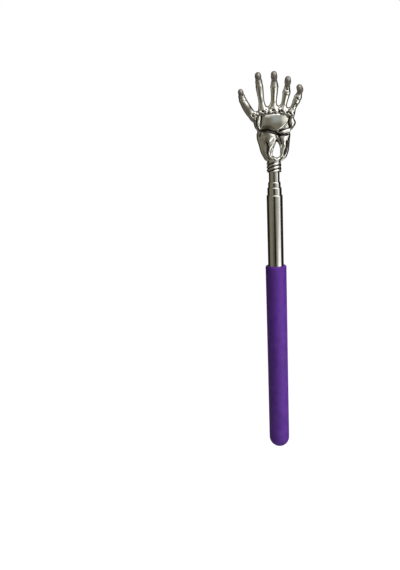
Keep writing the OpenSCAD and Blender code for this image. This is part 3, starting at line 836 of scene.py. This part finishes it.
def lobe(rows, top):
    """Upright body with oval sections through rows as in LOBES, and a rounded head."""
    p = curve(rows).astype(np.float32)[::-1]

    def distance(x, y, z):
        cx, cy, hw, hd = (np.interp(z, p[:, 0], p[:, i]).astype(np.float32) for i in range(1, 5))
        dx, dy = x - cx, y - cy
        near = np.hypot(dx / hw, dy / hd)
        side = near * (near - 1) / np.maximum(np.hypot(dx / hw ** 2, dy / hd ** 2), 1e-6)
        return np.maximum(-soft_min(-side, top - z, LOBE_ROUNDING), p[0, 0] - z)

    low = np.array([(p[:, 1] - p[:, 3]).min(), (p[:, 2] - p[:, 4]).min(), p[0, 0]])
    high = np.array([(p[:, 1] + p[:, 3]).max(), (p[:, 2] + p[:, 4]).max(), top])
    return low, high, distance


def stone(middle, half, power):
    """Bump between an eight-sided stone (power 1) and an oval one (power 2)."""
    m, h = np.array(middle, np.float32), np.array(half, np.float32)

    def distance(x, y, z):
        sizes = sum((np.abs(p - c) / s) ** power for p, c, s in zip((x, y, z), m, h)) ** (1 / power)
        return (sizes - 1) / np.sqrt((1 / h ** 2).sum())

    return m - h, m + h, distance


def through_hole(rows):
    """Hole from front to back, a round shape through rows (x, z, radius)."""
    shape = limb(curve([(x, 0, z, r) for x, z, r in rows]))

    def distance(x, y, z):
        return np.broadcast_to(shape[2](x, np.zeros((1, 1, 1), np.float32), z),
                               np.broadcast_shapes(x.shape, y.shape, z.shape))

    low, high = shape[0].copy(), shape[1].copy()
    low[1], high[1] = -OPENING_REACH, OPENING_REACH
    return low, high, distance


class Clay:
    """Distances to a surface on a grid, in millimetres. Shapes are added to it and cut from it."""

    def __init__(self, low, high):
        self.low = np.array(low, np.float32)
        counts = np.ceil((np.array(high) - self.low) / STEP).astype(int)
        self.axes = []
        for i, n in enumerate(counts):
            places = self.low[i] + STEP * np.arange(n, dtype=np.float32)
            self.axes.append(places.reshape([-1 if i == j else 1 for j in range(3)]))
        self.field = np.full(counts, FAR, np.float32)

    def near(self, shape):
        """Part of the grid round a shape, and the distances to the shape in it."""
        part = near_slices(self.axes, shape[0] - FAR, shape[1] + FAR)
        x, y, z = self.axes[0][part[0]], self.axes[1][:, part[1]], self.axes[2][:, :, part[2]]
        return part, shape[2](x, y, z)

    def add(self, shape, seam):
        part, distance = self.near(shape)
        self.field[part] = soft_min(self.field[part], distance, seam)

    def cut(self, shape, seam):
        part, distance = self.near(shape)
        self.field[part] = -soft_min(-self.field[part], distance, seam)

    def front(self, x, z):
        """Depth at which the palm side lies beside and above the wrist."""
        column = self.field[round((x - self.low[0]) / STEP), :, round((z - self.low[2]) / STEP)]
        inside = np.flatnonzero(column < 0)
        if not len(inside):
            return 0.0
        j = inside[0]
        return float(self.axes[1][0, j, 0] - STEP * column[j] / (column[j] - column[j - 1]))

    def bead(self, places, seam):
        """Strand that stands proud of the surface."""
        rows = curve(places)
        self.add(limb([(x, self.front(x, z) - proud + r, z, r) for x, z, r, proud in rows]), seam)

    def groove(self, places, depth, seam):
        """Furrow left by a round rod that is sunk into the surface."""
        rows = curve(places)
        self.cut(limb([(x, self.front(x, z) - r + depth, z, r) for x, z, r in rows]), seam)

    def pit(self, x, z, run_x, run_z, r, depth, seam):
        """Long dimple that narrows towards its floor, deepest in the middle of its run."""
        y = self.front(x, z)
        start, floor = y - PIT_START, PIT_FLOOR * r
        self.cut(limb([(x - run_x, start, z - run_z, r), (x, y + depth - floor, z, floor),
                       (x + run_x, start, z + run_z, r)]), seam)

    def reading(self, points):
        """Distance at points between those of the grid."""
        q = np.clip((points - self.low) / STEP, 0, np.array(self.field.shape) - 1.001)
        i = q.astype(int)
        f = q - i
        out = 0
        for corner in np.ndindex(2, 2, 2):
            weight = np.prod(np.where(corner, f, 1 - f), axis=1)
            j = i + corner
            out = out + weight * self.field[j[:, 0], j[:, 1], j[:, 2]]
        return out

    def skin(self):
        """Points and four-sided faces of the surface."""
        grid = openvdb.FloatGrid(FAR)
        grid.copyFromArray(self.field)
        points, faces = grid.convertToQuads(0.0)
        return points.astype(float) * STEP + self.low, faces


def settle(points, faces):
    """Even out the small steps of the grid, with as much push back so that nothing shrinks."""
    a = np.concatenate([faces[:, k] for k in range(4)])
    b = np.concatenate([faces[:, (k + 1) % 4] for k in range(4)])
    a, b = np.concatenate([a, b]), np.concatenate([b, a])
    count = np.bincount(a, minlength=len(points))[:, None]
    for _ in range(SETTLE_ROUNDS):
        for push in SETTLE_PUSHES:
            mean = np.stack([np.bincount(a, points[b, i], len(points)) for i in range(3)], 1) / count
            points = points + push * (mean - points)
    return points


def point_normals(points, faces):
    a, b, c, d = (points[faces[:, k]] for k in range(4))
    across = np.cross(c - a, d - b)
    out = np.zeros(points.shape)
    for i in range(3):
        out[:, i] = sum(np.bincount(faces[:, k], across[:, i], len(points)) for k in range(4))
    return out / np.maximum(np.linalg.norm(out, axis=1, keepdims=True), 1e-12)


def model_hand():
    """Hand as clay, from the wrist up and from the large shapes to the small ones."""
    clay = Clay(GRID_LOW, GRID_HIGH)
    clay.add(limb(CUP_NECK), 0)
    clay.add(limb(CUP), SEAMS["cup"])
    for corners, depth, half in PADS:
        clay.add(pad(corners, depth, half), SEAMS["pad"])
    clay.add(pad(PALM_CORE, 0, PALM_CORE_R, knuckles=(KNUCKLE_FROM, KNUCKLE_Y)), SEAMS["pad"])
    for k, x in enumerate(BACK_BONE_X):
        root = (FINGERS[k + 1][0], BACK_BONE_Y + KNUCKLE_Y, FINGERS[k + 1][1], BACK_BONE_R)
        clay.add(limb([root, (x, BACK_BONE_Y, BACK_BONE_Z, BACK_BONE_R)]), SEAMS["back_bone"])
    for rows, top in LOBES:
        clay.add(lobe(rows, top), SEAMS["lobe"])
    for bone in WRIST_BONES:
        clay.add(limb(curve(bone)), SEAMS["wrist_bone"])
    clay.cut(through_hole(OPENING), SEAMS["opening"])
    clay.add(limb(curve(THUMB_BASE)), SEAMS["thumb_base"])
    clay.add(limb(curve(THUMB_WEB)), SEAMS["thumb_base"])
    clay.add(limb(curve(SIDE_BONE)), SEAMS["side_bone"])
    clay.add(stone(*SIDE_BUMP, SIDE_BUMP_POWER), SEAMS["side_bump"])
    clay.add(stone(*PALM_HEEL, PALM_HEEL_POWER), SEAMS["heel"])
    for k in range(len(FINGERS)):
        stations, neck = finger_stations(k)
        clay.add(limb(stations), SEAMS["finger"])
        length = FINGERS[k][4] + FINGERS[k][5]
        for back, aside, r, depth in JOINT_PITS[k]:
            x, _, z, _ = stations[round((neck - back / length) * FINGER_RINGS)]
            clay.pit(x + aside, z, *JOINT_PIT_RUN, r, depth, JOINT_PIT_SEAM)
    for x, z, *_ in FINGERS[1:]:
        ball = [(x, KNUCKLE_Y - KNUCKLE_AHEAD, z - below, KNUCKLE_R) for below in KNUCKLE_BELOW]
        clay.add(limb(ball), SEAMS["knuckle"])
    clay.add(limb(curve(THUMB_SIDE)), SEAMS["finger"])
    clay.add(limb(curve(THUMB_KNUCKLE)), SEAMS["thumb_knuckle"])
    clay.add(dome_plate(), SEAMS["plate"])
    for places, seam in BEADS:
        clay.bead(places, seam)
    for places, depth, seam, _ in GROOVES:
        clay.groove(places, depth, seam)
    for place in PITS:
        clay.pit(*place)
    return clay


def painted_shade_on(clay, points, normals):
    """How dark each point is with painted shade: in hollows and grooves, and in patches on the palm and
    thumb.
    """
    x, z, look = points[:, 0], points[:, 2], normals[:, 1]
    # Painted shade in hollows: the less open the surface is round a point, the darker it is.
    open_share = sum(np.clip(clay.reading(points + normals * d) / d, 0, 1) for d in OPEN_REACHES)
    painted_shade = 1 - open_share / len(OPEN_REACHES)
    # Painted shade along the grooves.
    for places, _, _, reach in GROOVES:
        past = np.min([np.hypot(x - a, z - b) - r for a, b, r in curve(places)], axis=0)
        painted_shade = np.maximum(painted_shade, (look < SHADE_TO_BACK) * np.clip(1 - past / reach, 0, 1))
    # Patches of painted shade on the palm's lower left corner and on the thumb.
    for a, b, half_width, half_height, rise in SHADE_PATCHES:
        off = np.hypot((x - a) / half_width, (z - b) / half_height)
        patch_shade = SHADE_PATCH_EDGE + rise * np.clip(1 - off, 0, 1)
        painted_shade = np.where((off < 1) & (look < SHADE_PATCH_TO_FRONT), np.maximum(painted_shade, patch_shade), painted_shade)
    return painted_shade


def wear_on(points):
    """How dull each point is with wear, which is on the fingertips only."""
    worn = np.zeros(len(points))
    for k in range(len(FINGERS)):
        stations, neck = finger_stations(k)
        tip = stations[round(neck * FINGER_RINGS):, :3]
        away = np.min([np.linalg.norm(points - p, axis=1) for p in tip[2:]], axis=0)
        beyond = (points - tip[0]) @ (tip[-1] - tip[0]) / np.linalg.norm(tip[-1] - tip[0])
        worn = np.maximum(worn, (away < WORN_REACH) * np.clip(0.5 + beyond / WORN_EDGE, 0, 1))
    return worn


def make_hand():
    clay = model_hand()
    points, faces = clay.skin()
    points = settle(points, faces)
    painted_shade = painted_shade_on(clay, points, point_normals(points, faces))
    mesh = bpy.data.meshes.new("cast_hand")
    mesh.from_pydata(((points + (0, 0, WRIST_Z)) * MM).tolist(), [], faces.tolist())
    for name, values in (("painted_shade", painted_shade), ("worn", wear_on(points))):
        marks = mesh.attributes.new(name, "FLOAT", "POINT")
        marks.data.foreach_set("value", values.astype(np.float32))
    mesh.materials.append(FINISH["plated_casting"])
    mesh.shade_smooth()
    hand = placed("cast_hand", mesh)
    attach(hand, "head")
    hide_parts("skeleton_hand")


make_grip()
make_tubes()
make_collar()
make_hand()

# Pieces inside the tubes keep their solids
INSIDE = {
    "brass": ("base_plug", "second_foot_bush", "third_foot_bush", "inner_foot_bush"),
    "spring_bronze": ("second_friction_leaves", "third_friction_leaves", "inner_friction_leaves"),
}
for finish, names in INSIDE.items():
    for name in names:
        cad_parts[name].data.materials.clear()
        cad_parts[name].data.materials.append(FINISH[finish])


# Floor, light and reflecting cards

FLOOR_Z, FLOOR_R, FLOOR_SIDES = -0.225, 3, 64
# How bright the floor is to the camera and to reflections, and the share of that against its own shade.
FLOOR_GLOW, FLOOR_GLOW_SHARE = 1.13, 0.88
# Level of the world as a light, and as the white background.
WORLD_LIGHT, WORLD_WHITE = 0.11, 1.0
AIM = Vector((0, 0, 0.10))


def place_from(azimuth, elevation, distance, aim=AIM):
    """Point round the object: azimuth 0 is in front, positive to the right, in degrees."""
    a, e = math.radians(azimuth), math.radians(elevation)
    return aim + distance * Vector((math.sin(a) * math.cos(e), -math.cos(a) * math.cos(e), math.sin(e)))


def facing(place, aim=AIM):
    return Matrix.Translation(place) @ (aim - place).to_track_quat("-Z", "Y").to_matrix().to_4x4()


def make_world():
    world = bpy.data.worlds.new("studio")
    scene.world = world
    world.use_nodes = True
    t = Nodes(world.node_tree)
    rays = t.add("ShaderNodeLightPath").outputs
    seen = rays["Is Camera Ray"]
    for other in ("Is Glossy Ray", "Is Transmission Ray"):
        seen = t.math("MAXIMUM", seen, rays[other])
    level = t.feed(t.add("ShaderNodeMapRange"), Value=seen, To_Min=WORLD_LIGHT, To_Max=WORLD_WHITE)
    sky = t.feed(t.add("ShaderNodeBackground"), Color=(1, 1, 1, 1), Strength=level.outputs["Result"])
    t.feed(t.add("ShaderNodeOutputWorld"), Surface=sky.outputs["Background"])


def make_floor():
    """Pale floor that stays white to the camera apart from the shadow on it."""
    mesh = bpy.data.meshes.new("floor")
    angles = [2 * math.pi * k / FLOOR_SIDES for k in range(FLOOR_SIDES)]
    ring = [(FLOOR_R * math.cos(a), FLOOR_R * math.sin(a), FLOOR_Z) for a in angles]
    mesh.from_pydata(ring, [], [list(range(FLOOR_SIDES))])
    m = Recipe("pale_floor")
    paper = m.feed(m.add("ShaderNodeBsdfDiffuse"), Color=m.blend(
        m.spread(m.noise(40), 0, 1), (0.86, 0.86, 0.86), (0.89, 0.89, 0.89)))
    glow = m.feed(m.add("ShaderNodeEmission"), Color=(1, 1, 1, 1), Strength=FLOOR_GLOW)
    rays = m.add("ShaderNodeLightPath").outputs
    seen = m.math("MAXIMUM", rays["Is Camera Ray"], rays["Is Glossy Ray"])
    mesh.materials.append(m.layered(m.math("MULTIPLY", seen, FLOOR_GLOW_SHARE), paper, glow))
    floor = placed("floor", mesh)


def make_lamp(name, azimuth, elevation, distance, size, power):
    data = bpy.data.lights.new(name, "AREA")
    data.shape = "DISK"
    data.size = size
    data.energy = power
    lamp = placed(name, data)
    lamp.matrix_world = facing(place_from(azimuth, elevation, distance))
    lamp.visible_glossy = False
    lamp.visible_camera = False


def make_card(name, azimuth, elevation, distance, width, height, colour, level, fade, aim=AIM):
    """Card that only the metal's reflections see, brighter or darker than the background, with soft edges."""
    mesh = bpy.data.meshes.new(name)
    w, h = width / 2, height / 2
    mesh.from_pydata([(-w, -h, 0), (w, -h, 0), (w, h, 0), (-w, h, 0)], [], [(0, 1, 2, 3)])
    m = Recipe(name)
    split = m.feed(m.add("ShaderNodeSeparateXYZ"), Vector=m.place)
    shares = [m.spread(m.math("DIVIDE", m.math("ABSOLUTE", split.outputs[axis]), half), 1, 0, 1 - fade, 1)
              for axis, half in (("X", w), ("Y", h))]
    glow = m.feed(m.add("ShaderNodeEmission"), Color=(*colour, 1), Strength=level)
    clear = m.add("ShaderNodeBsdfTransparent")
    mesh.materials.append(m.layered(m.math("MULTIPLY", *shares), clear, glow))
    card = placed(name, mesh)
    card.matrix_world = facing(place_from(azimuth, elevation, distance, aim), aim)
    for ray in ("camera", "diffuse", "transmission", "volume_scatter", "shadow"):
        setattr(card, "visible_" + ray, False)


# Lamps: name, azimuth, elevation, distance, size and power.
LAMPS = [
    ("key", 60, 35, 0.9, 0.45, 9.5),
    ("fill", -30, 15, 1.0, 0.6, 0.6),
    ("back", 160, 30, 1.0, 0.6, 2.5),
]
# Cards: name, azimuth, elevation, distance, width, height, colour, level, share of the half size that fades
# out, and for the one close to the tubes the point that it faces.
CARDS = [
    ("left_card", -62, 0, 0.7, 1.1, 1.8, (1.0, 0.93, 0.70), 0.21, 0.35),
    ("left_flag", -120, 0, 0.66, 1.2, 2.2, (1.0, 0.94, 0.72), 0.015, 0.25),
    ("right_flag", 122, 0, 0.66, 1.2, 2.2, (1.0, 0.94, 0.72), 0.015, 0.25),
    ("back_card", 180, 5, 0.68, 1.5, 1.5, (1.0, 0.97, 0.90), 0.30, 0.7),
    ("over_card", 0, 89, 0.6, 1.5, 1.5, (1.0, 0.94, 0.76), 0.14, 0.3),
    ("front_base", -2, -10, 0.72, 1.1, 1.1, (1.0, 0.93, 0.74), 0.19, 0.35),
    ("front_card", 8, 20, 0.60, 0.60, 0.52, (0.94, 0.99, 1.0), 0.42, 0.8),
    ("low_flag", -26, -20, 0.58, 0.46, 0.36, (1.0, 0.92, 0.75), 0.09, 0.7),
    ("tube_flag", -4, 0, 0.035, 0.015, 0.072, (1.0, 0.9, 0.8), 0.005, 0.3, Vector((0, 0, 0.079))),
    ("right_card", 40, 0, 0.66, 0.60, 1.6, (1.0, 0.98, 0.88), 0.38, 0.5),
    ("right_window", 54, 22, 0.60, 0.44, 0.62, (1, 1, 1), 1.6, 0.4),
    ("bright_card", 56, -30, 0.46, 0.40, 0.40, (1.0, 1.0, 0.97), 1.5, 0.6),
    ("cream_card", 37, 13, 0.58, 0.46, 0.40, (1.0, 0.98, 0.90), 1.1, 0.9),
    ("low_card", 12, -36, 0.45, 0.20, 0.16, (1.0, 1.0, 0.97), 1.3, 0.7),
    ("finger_card", 34, -27, 0.50, 0.24, 0.18, (1.0, 1.0, 0.98), 2.0, 0.6),
    ("plate_flag", -16, -54, 0.33, 0.30, 0.30, (1.0, 0.9, 0.8), 0.02, 0.6),
    ("under_card", -5, -88, 0.31, 2.0, 2.0, (1.0, 0.91, 0.76), 0.13, 0.3),
    ("key_card", 30, 52, 0.55, 0.60, 0.42, (1, 1, 1), 2.2, 0.4),
]

make_world()
make_floor()
for lamp in LAMPS:
    make_lamp(*lamp)
for card in CARDS:
    make_card(*card)
